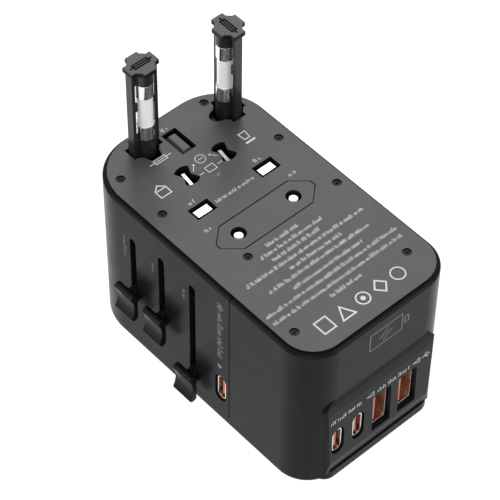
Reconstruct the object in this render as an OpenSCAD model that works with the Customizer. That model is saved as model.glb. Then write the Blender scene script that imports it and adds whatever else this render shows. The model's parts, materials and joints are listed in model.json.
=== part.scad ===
// Universal travel adapter with sliding plug pins, two fuse carriers and a five-port USB charger.
// Millimetres. +Z is up, out of the plug face; the socket face rests on z = 0.
// +X runs towards the USB end and the sliders are on the -Y side. The origin is under the middle of the body.

/* [Body] */
// Length of the housing, without the bulge of the port panel
body_l = 89.4; // [89:0.1:90]
// Width of the housing
body_w = 51; // [50.8:0.1:51.6]
// Height from the socket face to the plug face
body_h = 55; // [55:0.1:55.6]
// Wall thickness of the shells
wall = 1.6; // [1.5:0.1:1.7]
// Corner radius at the fuse end
corner_fuse = 15.5; // [15:0.1:16]
// Corner radius at the USB end
corner_usb = 10.2; // [10:0.1:10.5]
// Height of the socket cover
cover_h = 4.2; // [4:0.1:4.4]
// Floor thickness of the socket cover
cover_floor = 2.2; // [2:0.1:2.3]
// Radius of the edge around the socket face
cover_fillet = 1.9; // [1.5:0.1:2]
// Thickness of the plug face plate
plate_t = 1.6; // [1.5:0.1:1.7]
// How far the plate's edge stands in from the shell
plate_inset = 1.25; // [1.1:0.05:1.4]
// How far the plate stands above the shell's rim
plate_rise = 0.8; // [0.7:0.1:0.9]
// Radius of the shell's upper shoulder
shoulder_r = 0.9; // [0.7:0.1:1]
// Where the adapter shell meets the charger shell
seam_x = 15; // [14.9:0.1:15.1]
// Width of the open line between the two shells
seam_gap = 0.3; // [0.2:0.1:0.4]

/* [Plug pins] */
// Distance of each UK line and neutral pin from the middle
uk_pin_y = 11.1; // [11:0.1:11.2]
// Distance from the UK line and neutral pins to the earth pin
uk_earth_pitch = 22.2; // [22.1:0.1:22.3]
// Distance of each EU pin from the middle
eu_pin_y = 9.5; // [9.4:0.1:9.6]
// Diameter of an EU pin
eu_pin_d = 4; // [4:0.1:4.1]
// Distance of each US and AU blade from the middle
us_blade_y = 6.4; // [6.3:0.05:6.5]
// Turn of the blades as they stand, clockwise from the US position
blade_turn = 8; // [0:1:20]
// Travel of the US and AU pin slider
us_travel = 18; // [16:0.5:18]
// Travel of the UK pin slider
uk_travel = 18.5; // [16:0.5:18.5]
// Travel of the EU pin slider
eu_travel = 33; // [30:0.5:33]

/* [Sliders] */
// Width of a thumb knob
knob_w = 7.1; // [6:0.1:7.5]
// Height of a thumb knob
knob_h = 10.4; // [10:0.1:10.8]
// Thickness of a thumb knob
knob_t = 2.4; // [2:0.1:2.8]
// Distance of a knob's front from the shell
knob_out = 4.3; // [4:0.1:4.6]
// Width of the slots in the shell
slot_w = 2.3; // [2.2:0.1:2.5]
// Height of the middles of the US and UK knobs' necks above the socket face
knob_z = 21.8; // [21.6:0.1:22]
// Height of the middle of the EU knob's neck above the socket face
eu_knob_z = 9.3; // [9.2:0.1:9.5]

/* [Fuses] */
// Diameter of a fuse cartridge
fuse_d = 5; // [4.9:0.1:5]
// Length of a fuse cartridge
fuse_l = 20; // [19:0.5:20]
// Length of a carrier frame below its cap
carrier_l = 34.5; // [33:0.5:34.5]
// Radius of a fuse well's bore
well_r = 4.3; // [4.25:0.05:4.5]
// How far the carriers stand pulled out of their wells
carrier_lift = 31; // [20:0.5:31]
// Length of a carrier cap
cap_l = 9.1; // [8.8:0.1:9.2]
// Width of a carrier cap
cap_w = 8.1; // [7.8:0.1:8.2]

/* [USB ports] */
// Height of the port panel's top edge
panel_top = 34.5; // [33:0.5:35]
// Width of the port panel
panel_w = 40; // [39:0.5:40.5]
// How far the panel stands out of the end wall
panel_out = 1.1; // [1:0.1:1.3]
// Height of the middle of the ports on the panel
port_z = 16.4; // [16:0.1:17]
// Height of the middle of the side port
side_port_z = 14.1; // [14:0.1:14.3]

/* [Hidden] */
$fn = 64;

end_x = body_l / 2;
half_w = body_w / 2;
rim_z = body_h - plate_t;
shell_top = body_h - plate_rise;

// Plug pins, in plan
us_x = -23.05;
uk_x = -11.6;
uk_earth_x = uk_x - uk_earth_pitch;
eu_x = 0.6;
uk_pin = [4, 6.35];
uk_earth_pin_size = [8, 4];
pin_chamfer = 0.85;
blade = [6.3, 1.5];
blade_chamfer = [0.9, 0.27];
shank_r = 1.9;
rod_r = 1.25;
eu_rod_r = 1;
running_gap = 0.05;

// Plug face openings
uk_slot = [4.3, 6.6];
uk_earth_slot = [8.8, 4.8];
bow_r = 3.45;
bow_waist = 2.5;
bow_end = [2.55, 2.45];
pedestal_half = [5.1, 16.6];
pedestal_flat_y = 11.8;
pedestal_tip_x = 0.9;
pedestal_gap = 0.3;
pedestal_h = 18.5;
pedestal_lift = 14;
pedestal_wall = 1.2;

// Levels of the sliding pin blocks as they stand retracted
block_stop = 0.7;
us_block_z = [27.2, rim_z - us_travel - block_stop];
uk_block_z = [26, rim_z - uk_travel - block_stop];
eu_block_z = [29.2, rim_z + 0.1 + pedestal_lift - eu_travel - 0.3];
us_tip_z = body_h - 1.5;
uk_tip_z = body_h - 0.5;
eu_tip_z = body_h - 0.7;
neck_h = 5;
neck_w = 1.9;
// How far a knob's middle lies below the middle of its neck
knob_drop = 0.8;
arm_w = 2.2;
arm_y = [-23.6, -20.5];
link_y = [10.1, 12];
link_z = [27, 32];
slot_spare = 1.6;
us_slot_top = knob_z + neck_h / 2 + us_travel + slot_spare;
eu_slot_top = eu_knob_z + neck_h / 2 + eu_travel + slot_spare;

// Fuse wells, in plan, and the carriers' sections
main_fuse = [-34, 17.6];
spare_fuse = [-38.4, -8.2];
well_tube = 0.8;
arm_gap = 0.15;
well_floor_z = [17.5, 18.3];
well_flange_r = 6.6;
well_flange_t = 1.2;
cap_t = 1.5;
cap_gap = 0.25;
cap_arm = [4.0, 3.9];
cap_seat_z = rim_z + 0.05;
frame_x = 4.25;
frame_y = [-1.3, 1.1];
window_x = 3.2;
fuse_y = -1.05;
fuse_block_r = 2.6;
fuse_drop = 3.9;
fuse_end_l = 4.8;
fuse_end_t = 0.3;
notch_r = 2.05;
contact_z = [32, 47];

// Screws: place, and the way to the wall that holds the boss
face_screw = [
    [-39.9, 14.2, -1, 0], [-33.6, -20.2, 0, -1], [-17.2, 20.6, 0, 1], [-17.2, -19.9, 0, -1],
    [4.6, 21.2, 0, 1], [33.6, 18.3, 0, 1], [33.6, -20.6, 0, -1]
];
pillar_screw = [8, -13];
cover_screw = [[-20, 20.6, 0, 1], [-20, -20.6, 0, -1], [26, 21, 0, 1], [26, -21, 0, -1]];
screw_r = 0.6;
screw_head_r = 1.15;
screw_seat = 1.05;
cover_screw_r = 0.9;
cover_head_r = 1.9;
boss_r = 1.7;
boss_l = 9;

// Inner deck
deck_z = [17.6, 19.1];

// Socket, and the insert that holds its openings: its flange rests on a ledge in the cover
socket_x = -13;
socket_earth_x = -35.2;
insert_x = [-41, -6];
insert_half = 15.3;
insert_r = [11.5, 3];
insert_flange = 0.8;
insert_ledge_z = 1.2;
insert_recess = 0.3;
insert_gap = 0.1;
contact_leaf = 0.5;
contact_z0 = 8;
contact_z1 = 16;
shutter_z = [2.4, 3.8];
shutter_x = [-26.8, -8.4];
shutter_y = 16;
spring_stop_x = 6;
rail_x = [-17.4, -16.8];
rail_y = [5.3, 8.5];
rail_top_z = 50;

// Charger
usb_a_y = [0.45, 9.75];
usb_c_y = [-15.1, -7.9];
usb_a_open = [6.5, 14.2];
usb_c_open = [4.2, 10.2];
usb_a_size = [5.7, 13.1];
usb_c_size = [3.2, 9];
usb_a_face_x = 44.3;
usb_c_face_x = 45.1;
port_board_x = [33.8, 35.2];
usb_a_depth = usb_a_face_x - port_board_x[1];
usb_c_depth = usb_c_face_x - port_board_x[1];
side_port_x = 11.6;
side_port_y = -25;
side_port_l = 8.9;
port_skin = 0.35;
power_board_x = [17.6, 19.2];

module copper() color([0.45, 0.18, 0.1]) children();
module slate() color([0.17, 0.18, 0.19]) children();
module brass() color([0.78, 0.62, 0.32]) children();
module nickel() color([0.82, 0.82, 0.8]) children();
module black() color([0.07, 0.07, 0.08]) children();
module charcoal() color([0.12, 0.12, 0.13]) children();
module grey() color([0.41, 0.4, 0.42]) children();
module steel() color([0.3, 0.3, 0.31]) children();
module green() color([0.1, 0.32, 0.2]) children();

// ---- Shapes that repeat ----

// Rectangle with one corner radius at its left end and another at its right end
module round_rect(x0, x1, half, r0, r1) {
    translate([x0 + r0, -half]) square([x1 - r1 - x0 - r0, 2 * half]);
    translate([x0, r0 - half]) square([r0, 2 * (half - r0)]);
    translate([x1 - r1, r1 - half]) square([r1, 2 * (half - r1)]);
    for (s = [-1, 1]) {
        translate([x0 + r0, s * (half - r0)]) circle(r0);
        translate([x1 - r1, s * (half - r1)]) circle(r1);
    }
}

// Rectangle about the origin with equal corners
module rounded(size, r) {
    translate([-size[0] / 2 + r, -size[1] / 2]) square([size[0] - 2 * r, size[1]]);
    translate([-size[0] / 2, -size[1] / 2 + r]) square([size[0], size[1] - 2 * r]);
    for (sx = [-1, 1], sy = [-1, 1])
        translate([sx * (size[0] / 2 - r), sy * (size[1] / 2 - r)]) circle(r);
}

// Upright slot with round ends
module stadium(w, h) {
    square([w, h - w], center = true);
    for (s = [-1, 1]) translate([0, s * (h - w) / 2]) circle(w / 2);
}

module body_outline(d = 0) {
    round_rect(-end_x + d, end_x - d, half_w - d, corner_fuse - d, corner_usb - d);
}

// Carries a flat profile round an outline; x = 0 of the profile lies on the outline, -x points inwards
module swept_edge(x0, x1, half, r0, r1) {
    for (s = [0, 1]) mirror([0, s, 0]) {
        translate([x0 + r0, half, 0]) rotate([90, 0, 90]) linear_extrude(x1 - r1 - x0 - r0) children();
        translate([x1 - r1, half - r1, 0]) rotate_extrude(angle = 90) translate([r1, 0]) children();
        translate([x0 + r0, half - r0, 0]) rotate([0, 0, 90])
            rotate_extrude(angle = 90) translate([r0, 0]) children();
    }
    translate([x1, half - r1, 0]) rotate([90, 0, 0]) linear_extrude(2 * (half - r1)) children();
    translate([x0, r0 - half, 0]) rotate([90, 0, 180]) linear_extrude(2 * (half - r0)) children();
}

// Quarter of a disc that rounds an edge: up = 1 for an upper edge, -1 for a lower one
module quarter(r, up) {
    translate([-r, 0]) intersection() {
        circle(r);
        translate([0, up > 0 ? 0 : -r]) square(r);
    }
}

// Flat slab with a round lower edge
module dished_slab(x0, x1, half, r0, r1, h, f) {
    translate([0, 0, f]) linear_extrude(h - f) round_rect(x0, x1, half, r0, r1);
    linear_extrude(f) round_rect(x0 + f, x1 - f, half - f, r0 - f, r1 - f);
    translate([0, 0, f]) swept_edge(x0, x1, half, r0, r1) quarter(f, -1);
}

// Profile drawn in (y, z) and carried along +X, or drawn in (x, z) and carried along +Y
module along_x(l) rotate([90, 0, 90]) linear_extrude(l) children();
module along_y(l) translate([0, l, 0]) rotate([90, 0, 0]) linear_extrude(l) children();

module box(x, y, z) {
    translate([x[0], y[0], z[0]]) cube([x[1] - x[0], y[1] - y[0], z[1] - z[0]]);
}

module tube(r_out, r_in, h) {
    difference() {
        cylinder(r = r_out, h = h);
        translate([0, 0, -1]) cylinder(r = r_in, h = h + 2);
    }
}

// Flat-sided pin from z = 0 to z = l with a chamfered tip
module flat_pin(size, l, c) {
    intersection() {
        translate([0, -size[1], 0]) along_y(2 * size[1]) pin_profile(size[0], l, c[0]);
        translate([-size[0], 0, 0]) along_x(2 * size[0]) pin_profile(size[1], l, c[1]);
    }
}

module pin_profile(w, l, c) {
    half = w / 2;
    polygon([[-half, 0], [half, 0], [half, l - 2 * c], [half - c, l], [c - half, l], [-half, l - 2 * c]]);
}

// Boss that a screw bites in, with a rib that runs to the wall on side way
module boss(place, r, bore, z0, z1) {
    way = [place[2], place[3]];
    reach = 8;
    rib = 1.2;
    rib_size = [abs(way[0]) * reach + rib * abs(way[1]), abs(way[1]) * reach + rib * abs(way[0]), z1 - z0];
    difference() {
        intersection() {
            union() {
                translate([place[0], place[1], z0]) cylinder(r = r, h = z1 - z0);
                translate([place[0] + way[0] * reach / 2, place[1] + way[1] * reach / 2, (z0 + z1) / 2])
                    cube(rib_size, center = true);
            }
            linear_extrude(body_h) body_outline(wall / 2);
        }
        translate([place[0], place[1], z0 - 1]) cylinder(r = bore, h = z1 - z0 + 2);
    }
}

module face_boss(s, r) boss(face_screw[s], r, screw_r + 0.02, rim_z - boss_l, rim_z);
module cover_boss(s) boss(cover_screw[s], boss_r + 0.5, cover_screw_r + 0.02, cover_h, cover_h + boss_l);

// ---- Housing ----

module shell_ring() {
    difference() {
        union() {
            translate([0, 0, cover_h]) linear_extrude(shell_top - cover_h - shoulder_r) body_outline();
            translate([0, 0, shell_top - shoulder_r]) linear_extrude(shoulder_r) body_outline(shoulder_r);
            translate([0, 0, shell_top - shoulder_r])
                swept_edge(-end_x, end_x, half_w, corner_fuse, corner_usb) quarter(shoulder_r, 1);
        }
        translate([0, 0, -1]) linear_extrude(body_h + 2) body_outline(wall);
    }
}

module wall_slot(x, z0, z1) {
    translate([x, -half_w - 1, (z0 + z1) / 2]) along_y(wall + 2) stadium(slot_w, z1 - z0);
}

module adapter_shell() slate() {
    slot_floor = 1.2;
    difference() {
        union() {
            difference() {
                shell_ring();
                box([seam_x - seam_gap / 2, end_x + 1], [-half_w - 1, half_w + 1], [0, body_h]);
            }
            for (s = [0 : 4]) face_boss(s, boss_r);
            for (s = [0, 1]) cover_boss(s);
        }
        wall_slot(us_x, knob_z - neck_h / 2 - slot_floor, us_slot_top);
        wall_slot(uk_x, knob_z - neck_h / 2 - slot_floor, eu_slot_top);
        wall_slot(eu_x, eu_knob_z - neck_h / 2 - slot_floor, eu_slot_top);
        translate([side_port_x, -half_w - 1, side_port_z]) along_y(wall + 2)
            stadium(usb_c_open[0], usb_c_open[1]);
    }
}

// The port panel: a field that leans out of the end wall under a short brow, over a dark heel
module port_panel() {
    field_r = 6.5;
    edge_r = 3;
    brow = [[5.5, 0.62], [2.5, 0.34], [0, -0.1]];
    back_x = end_x - 6;
    front_x = end_x + panel_out;
    heel_h = 3.9;
    heel_in = 0.45;
    intersection() {
        translate([0, 0, cover_h]) linear_extrude(panel_top - cover_h)
            round_rect(back_x, front_x + 0.05, panel_w / 2, edge_r, edge_r);
        translate([back_x, 0, 0]) along_x(10) union() {
            translate([-panel_w / 2 - 1, 0]) square([panel_w + 2, panel_top - field_r]);
            translate([field_r - panel_w / 2, 0]) square([panel_w - 2 * field_r, panel_top + 1]);
            for (s = [-1, 1]) translate([s * (panel_w / 2 - field_r), panel_top - field_r]) circle(field_r);
        }
        translate([0, -panel_w, 0]) along_y(2 * panel_w) polygon(concat(
            [[back_x, 0], [front_x - heel_in, 0], [front_x - heel_in, cover_h], [front_x, cover_h + heel_h]],
            [for (b = brow) [end_x + b[1], panel_top - b[0]]],
            [[back_x, panel_top]]
        ));
    }
}

module charger_shell() slate() {
    difference() {
        union() {
            difference() {
                shell_ring();
                box([-end_x - 1, seam_x + seam_gap / 2], [-half_w - 1, half_w + 1], [0, body_h]);
            }
            difference() {
                port_panel();
                translate([0, 0, -1]) linear_extrude(body_h + 2) body_outline(wall);
            }
            for (s = [5, 6]) face_boss(s, boss_r + 0.4);
            for (s = [2, 3]) cover_boss(s);
        }
        for (y = usb_a_y) translate([end_x - 5, y, port_z]) along_x(10) rounded(usb_a_open, 0.5);
        for (y = usb_c_y) translate([end_x - 5, y, port_z]) along_x(10) stadium(usb_c_open[0], usb_c_open[1]);
    }
}

// Outline of the socket insert, with d millimetres added all round
module insert_outline(d) {
    round_rect(insert_x[0] - d, insert_x[1] + d, insert_half + d, insert_r[0] + d, insert_r[1] + d);
}

// One pole of the universal socket: UK, EU, US and AU openings merged
module pole_opening() {
    au_turn = 30;
    us_slot = [7.2, 1.9];
    eu_hole_r = 2.5;
    translate([0, uk_pin_y]) square([4.4, 6.8], center = true);
    translate([0, eu_pin_y]) circle(eu_hole_r);
    translate([0, us_blade_y]) square(us_slot, center = true);
    translate([0, us_blade_y + 0.5]) rotate(au_turn) square(us_slot, center = true);
}

module socket_insert() black() {
    earth_opening = [uk_earth_slot[0] + 0.4, uk_earth_slot[1] + 0.2, cover_floor + 2];
    difference() {
        union() {
            translate([0, 0, insert_recess]) linear_extrude(cover_floor - insert_recess) insert_outline(0);
            translate([0, 0, insert_ledge_z])
                linear_extrude(cover_floor - insert_ledge_z) insert_outline(insert_flange);
        }
        for (s = [0, 1]) mirror([0, s, 0])
            translate([socket_x, 0, -1]) linear_extrude(cover_h) pole_opening();
        translate([socket_earth_x, 0, cover_floor / 2]) cube(earth_opening, center = true);
    }
}

module socket_cover() slate() {
    rib_t = 1;
    guide_gap = 0.25;
    lip_z = [shutter_z[1] + 0.25, shutter_z[1] + 0.9];
    foot_x = end_x + panel_out;
    foot_r = 4;
    difference() {
        union() {
            dished_slab(-end_x, end_x, half_w, corner_fuse, corner_usb, cover_h, cover_fillet);
            dished_slab(20, foot_x, panel_w / 2, foot_r, foot_r, cover_h, cover_fillet);
        }
        translate([0, 0, cover_floor]) linear_extrude(cover_h) body_outline(wall);
        translate([0, 0, -1]) linear_extrude(cover_h) insert_outline(insert_gap);
        translate([0, 0, insert_ledge_z]) linear_extrude(cover_h) insert_outline(insert_flange + insert_gap);
        for (p = cover_screw) translate([p[0], p[1], -1]) {
            cylinder(r = cover_head_r + 0.15, h = 2.3);
            cylinder(r = cover_screw_r + 0.1, h = cover_h + 2);
        }
    }
    for (s = [0, 1]) mirror([0, s, 0]) {
        box([-30, 2], [shutter_y + guide_gap, shutter_y + guide_gap + rib_t], [cover_floor, lip_z[1]]);
        box([-30, 2], [shutter_y - 0.8, shutter_y + guide_gap], lip_z);
    }
    box([spring_stop_x, spring_stop_x + rib_t], [-2, 2], [cover_floor, cover_h + 1.2]);
}

// Outline of the rising EU pedestal, with g millimetres taken off all round
module pedestal_outline(g) {
    slope = (pedestal_half[0] - pedestal_tip_x) / (pedestal_half[1] - pedestal_flat_y);
    tip_x = pedestal_tip_x;
    flat_x = pedestal_half[0] - g;
    tip_y = pedestal_half[1] - g;
    flat_y = tip_y - (flat_x - tip_x) / slope;
    polygon([[flat_x, -flat_y], [flat_x, flat_y], [tip_x, tip_y], [-tip_x, tip_y],
             [-flat_x, flat_y], [-flat_x, -flat_y], [-tip_x, -tip_y], [tip_x, -tip_y]]);
}

// Bow-tie opening that lets a blade turn from the US to the AU position
module bow_tie() {
    waist = bow_waist / 2;
    intersection() {
        circle(bow_r);
        polygon([[0, waist], [bow_end[0], bow_end[1]], [bow_r + 1, bow_end[1]], [bow_r + 1, -bow_end[1]],
                 [bow_end[0], -bow_end[1]], [0, -waist], [-bow_end[0], -bow_end[1]],
                 [-bow_r - 1, -bow_end[1]], [-bow_r - 1, bow_end[1]], [-bow_end[0], bow_end[1]]]);
    }
}

// Cap of a fuse carrier: a cross with cut corners; g is added all round
module cap_outline(g) {
    cut = 1.25;
    l = cap_l / 2 + g;
    w = cap_w / 2 + g;
    a = cap_arm[0] / 2 + g;
    b = cap_arm[1] / 2 + g;
    polygon([
        [l, -b], [l, b], [a + cut, b], [a, b + cut], [a, w], [-a, w], [-a, b + cut], [-a - cut, b],
        [-l, b], [-l, -b], [-a - cut, -b], [-a, -b - cut], [-a, -w], [a, -w], [a, -b - cut], [a + cut, -b]
    ]);
}

// Places children at a fuse well; the carrier's open front is local -y
module at_main_fuse() translate(main_fuse) children();
module at_spare_fuse() translate(spare_fuse) rotate(90) children();

module plate_openings() {
    for (s = [-1, 1]) {
        translate([uk_x, s * uk_pin_y]) square(uk_slot, center = true);
        translate([us_x, s * us_blade_y]) bow_tie();
    }
    translate([uk_earth_x, 0]) square(uk_earth_slot, center = true);
    translate([eu_x, 0]) pedestal_outline(0);
    at_main_fuse() fuse_opening();
    at_spare_fuse() fuse_opening();
}

// The plate's edge rests on the rim of the shells, and its lip fits inside them
module face_plate() grey() {
    lip_gap = 0.1;
    difference() {
        union() {
            translate([0, 0, shell_top]) linear_extrude(plate_rise) body_outline(plate_inset);
            translate([0, 0, rim_z]) linear_extrude(plate_t - plate_rise) body_outline(wall + lip_gap);
        }
        translate([0, 0, rim_z - 1]) linear_extrude(plate_t + 2) plate_openings();
        for (p = concat([for (s = face_screw) [s[0], s[1]]], [pillar_screw])) translate([p[0], p[1], 0]) {
            translate([0, 0, body_h - screw_seat]) cylinder(r = screw_head_r + 0.15, h = 2);
            cylinder(r = screw_r + 0.1, h = body_h);
        }
    }
}

module fuse_opening() {
    cap_outline(cap_gap);
    translate([0, -cap_w / 2 - 0.1]) circle(notch_r);
}

module inner_frame() charcoal() {
    deck_edge = 13.9;
    leg = [[-10, 19], [-10, -19], [-31, 12.5], [-31, -12.5], [8, -10], [8, 18]];
    leg_r = 1.3;
    pillar_r = 2.1;
    ledge = 0.15;
    through = [0, 30];
    eu_arm_cut = [2.6, -8.5];
    port_cut = [9.8, -14.6];
    pole_cut = [[-18, -8], [4.6, 15]];
    earth_cut = [9.4, 5.2, 60];
    difference() {
        union() {
            translate([0, 0, deck_z[0]]) linear_extrude(deck_z[1] - deck_z[0]) intersection() {
                body_outline(wall + ledge);
                translate([-end_x, -half_w]) square([end_x + deck_edge, body_w]);
            }
            translate([pillar_screw[0], pillar_screw[1], deck_z[0]])
                cylinder(r = pillar_r, h = rim_z - deck_z[0]);
            for (p = leg) translate([p[0], p[1], cover_floor]) cylinder(r = leg_r, h = deck_z[0] - cover_floor);
        }
        for (p = [main_fuse, spare_fuse])
            translate([p[0], p[1], 0]) cylinder(r = well_r + well_tube + 0.15, h = body_h);
        box([eu_x - eu_arm_cut[0], eu_x + eu_arm_cut[0]], [-half_w, eu_arm_cut[1]], through);
        box([port_cut[0], seam_x], [-half_w, port_cut[1]], through);
        for (s = [0, 1]) mirror([0, s, 0]) box(pole_cut[0], pole_cut[1], through);
        translate([socket_earth_x, 0, 0]) cube(earth_cut, center = true);
        translate([pillar_screw[0], pillar_screw[1], rim_z - boss_l])
            cylinder(r = screw_r + 0.02, h = boss_l + 1);
    }
}

module partition() charcoal() {
    edge = 0.02;
    difference() {
        intersection() {
            box([seam_x - 1, seam_x + 1], [-half_w, half_w], [cover_h + 0.2, rim_z - 0.2]);
            linear_extrude(body_h) body_outline(wall + edge);
        }
        box([seam_x - 2, seam_x + 2], [-3, 3], [8, 14]);
    }
}

module screw(r, head_r, head_t, l) {
    slot = 0.35;
    difference() {
        cylinder(r = head_r, h = head_t);
        for (a = [0, 90]) rotate(a)
            translate([-head_r * 0.65, -slot / 2, head_t * 0.45]) cube([head_r * 1.3, slot, head_t]);
    }
    translate([0, 0, -l]) cylinder(r = r, h = l);
}

module face_screws() steel() {
    head_t = 0.6;
    length = 7.5;
    for (p = concat([for (s = face_screw) [s[0], s[1]]], [pillar_screw]))
        translate([p[0], p[1], body_h - screw_seat]) screw(screw_r, screw_head_r, head_t, length);
}

module cover_screws() steel() {
    seat = 1.3;
    head_t = 0.9;
    length = 7;
    for (p = cover_screw) translate([p[0], p[1], seat]) rotate([180, 0, 0])
        screw(cover_screw_r, cover_head_r, head_t, length);
}

module guide_rods() nickel() {
    for (x = [us_x, uk_x]) translate([x, 0, deck_z[1]]) cylinder(r = rod_r, h = rim_z - deck_z[1]);
    translate([eu_x, -19.5, cover_floor]) cylinder(r = eu_rod_r, h = rim_z - cover_floor);
}

// ---- Fuses ----

// Well with a round bore and a channel on each side for the arms of the carrier
module fuse_well() {
    floor_t = well_floor_z[1] - well_floor_z[0];
    deep = rim_z - well_floor_z[0];
    difference() {
        union() {
            cylinder(r = well_r + well_tube, h = deep);
            translate([0, 0, deep - well_flange_t]) cylinder(r = well_flange_r, h = well_flange_t);
        }
        translate([0, 0, floor_t]) cylinder(r = well_r, h = deep);
        box([-frame_x - arm_gap, frame_x + arm_gap], [frame_y[0] - arm_gap, frame_y[1] + arm_gap],
            [floor_t, deep + 1]);
    }
}

module main_fuse_well() black() {
    slot_x = 1.3;
    slot_h = 5;
    difference() {
        intersection() {
            at_main_fuse() translate([0, 0, well_floor_z[0]]) fuse_well();
            linear_extrude(body_h) body_outline(wall + 0.1);
        }
        translate([face_screw[0][0], face_screw[0][1], 0]) cylinder(r = boss_r + 0.2, h = body_h);
        box([-45, face_screw[0][0]], [face_screw[0][1] - 0.8, face_screw[0][1] + 0.8], [0, body_h]);
        translate([main_fuse[0], main_fuse[1], 0]) for (z = contact_z)
            box([-slot_x, slot_x], [-well_flange_r, -2], [z - slot_h / 2, z + slot_h / 2]);
    }
}

module spare_fuse_well() black() {
    difference() {
        intersection() {
            at_spare_fuse() translate([0, 0, well_floor_z[0]]) fuse_well();
            linear_extrude(body_h) body_outline(wall + 0.1);
        }
        translate([uk_earth_x, 0, body_h / 2])
            cube([uk_earth_slot[0] + 0.6, uk_earth_slot[1] + 0.6, body_h], center = true);
    }
}

// Spring leaves that meet the end caps of the working fuse
module main_fuse_contacts() brass() {
    leaf_x = 1.1;
    leaf_t = 0.4;
    leaf_y = -3.9;
    tab_l = 1.3;
    translate([main_fuse[0], main_fuse[1], 0]) for (z = contact_z) {
        box([-leaf_x, leaf_x], [leaf_y - leaf_t, leaf_y], [z - 2.2, z + 2.2]);
        box([-leaf_x, leaf_x], [leaf_y - tab_l, leaf_y - leaf_t], [z - 2.2, z - 1.8]);
    }
}

module lifted() translate([0, 0, carrier_lift]) children();

module fuse_cap() {
    mark_t = 0.3;
    mark = [5.2, 1.9];
    line_w = 0.4;
    translate([0, 0, cap_seat_z]) difference() {
        linear_extrude(cap_t) cap_outline(0);
        translate([0, 0, cap_t - mark_t]) linear_extrude(1) {
            difference() {
                square(mark, center = true);
                square([mark[0] - 2 * line_w, mark[1] - 2 * line_w], center = true);
            }
            square([mark[0] + 2, line_w], center = true);
        }
    }
}

// Block that holds one end of the fuse between the arms of its frame
module fuse_block(z0, z1) {
    translate([0, fuse_y, z0]) cylinder(r = fuse_block_r, h = z1 - z0);
    box([-window_x - 0.1, window_x + 0.1], frame_y, [z0, z1]);
}

// Carrier frame: two arms with a clip nose each, and a block above and below the fuse
module fuse_frame() {
    foot_chamfer = 1;
    clip_x = fuse_d / 2 + 0.06;
    clip_z = [6.5, 9.5];
    end_gap = 0.1;
    top = cap_seat_z;
    fuse_top = top - fuse_drop;
    for (s = [0, 1]) mirror([s, 0, 0]) {
        translate([0, frame_y[0], 0]) along_y(frame_y[1] - frame_y[0])
            polygon([[window_x, top], [frame_x, top], [frame_x, top - carrier_l + foot_chamfer],
                     [frame_x - foot_chamfer, top - carrier_l], [window_x, top - carrier_l]]);
        box([clip_x, window_x + 0.1], frame_y, [fuse_top - clip_z[1], fuse_top - clip_z[0]]);
    }
    fuse_block(fuse_top + end_gap, top);
    fuse_block(top - carrier_l, fuse_top - fuse_l - end_gap);
}

module fuse_tube() {
    translate([0, fuse_y, cap_seat_z - fuse_drop - fuse_l + fuse_end_t])
        cylinder(r = fuse_d / 2 - fuse_end_t, h = fuse_l - 2 * fuse_end_t);
}

module fuse_ends() {
    low = cap_seat_z - fuse_drop - fuse_l;
    for (z = [low, low + fuse_l - fuse_end_l]) translate([0, fuse_y, z])
        tube(fuse_d / 2, fuse_d / 2 - fuse_end_t, fuse_end_l);
    for (z = [low, low + fuse_l - fuse_end_t]) translate([0, fuse_y, z])
        cylinder(r = fuse_d / 2 - fuse_end_t, h = fuse_end_t);
}

module main_fuse_cap() grey() lifted() at_main_fuse() fuse_cap();
module main_fuse_frame() black() lifted() at_main_fuse() fuse_frame();
module main_fuse_tube() color("white") lifted() at_main_fuse() fuse_tube();
module main_fuse_ends() nickel() lifted() at_main_fuse() fuse_ends();
module spare_fuse_cap() grey() lifted() at_spare_fuse() fuse_cap();
module spare_fuse_frame() black() lifted() at_spare_fuse() fuse_frame();
module spare_fuse_tube() color("white") lifted() at_spare_fuse() fuse_tube();
module spare_fuse_ends() nickel() lifted() at_spare_fuse() fuse_ends();

// ---- Sliding pins ----

// Arm from a pin block out to the neck that crosses the wall slot
module slider_arm(x, y_from, bar_z, neck_z) {
    z0 = neck_z - neck_h / 2;
    knob_back = -half_w - knob_out + knob_t;
    box([x - arm_w / 2, x + arm_w / 2], [arm_y[0], y_from], bar_z);
    box([x - arm_w / 2, x + arm_w / 2], arm_y, [z0, bar_z[1]]);
    box([x - neck_w / 2, x + neck_w / 2], [knob_back, arm_y[0]], [z0, z0 + neck_h]);
}

// Thumb knob on a neck whose middle is at z: a bar with round ends and a hollow for the thumb
module knob(x, z) {
    scoop_r = 9;
    scoop_d = 1;
    front_y = -half_w - knob_out;
    mid_z = z - knob_drop;
    difference() {
        translate([x - knob_w / 2, front_y + knob_t / 2, mid_z]) along_x(knob_w) stadium(knob_t, knob_h);
        translate([x - knob_w, front_y + scoop_d - scoop_r, mid_z]) rotate([0, 90, 0])
            cylinder(r = scoop_r, h = 2 * knob_w, $fn = 96);
    }
}

module us_carriage() charcoal() {
    half = [3.3, 9.4];
    difference() {
        union() {
            box([us_x - half[0], us_x + half[0]], [-half[1], half[1]], us_block_z);
            slider_arm(us_x, -half[1], [us_block_z[0], us_block_z[0] + 4], knob_z);
        }
        translate([us_x, 0, 0]) cylinder(r = rod_r + running_gap, h = body_h);
        for (s = [-1, 1]) translate([us_x, s * us_blade_y, us_block_z[0] + 1.5])
            cylinder(r = shank_r + running_gap, h = 20);
    }
}

module us_blade(side) {
    shank_z = us_block_z[0] + 1.6;
    root_z = us_block_z[1] + 0.2;
    collar = 0.4;
    translate([us_x, side * us_blade_y, 0]) {
        translate([0, 0, shank_z]) cylinder(r = shank_r, h = root_z + collar - shank_z);
        rotate(-blade_turn) translate([0, 0, root_z]) flat_pin(blade, us_tip_z - root_z, blade_chamfer);
    }
}

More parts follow.
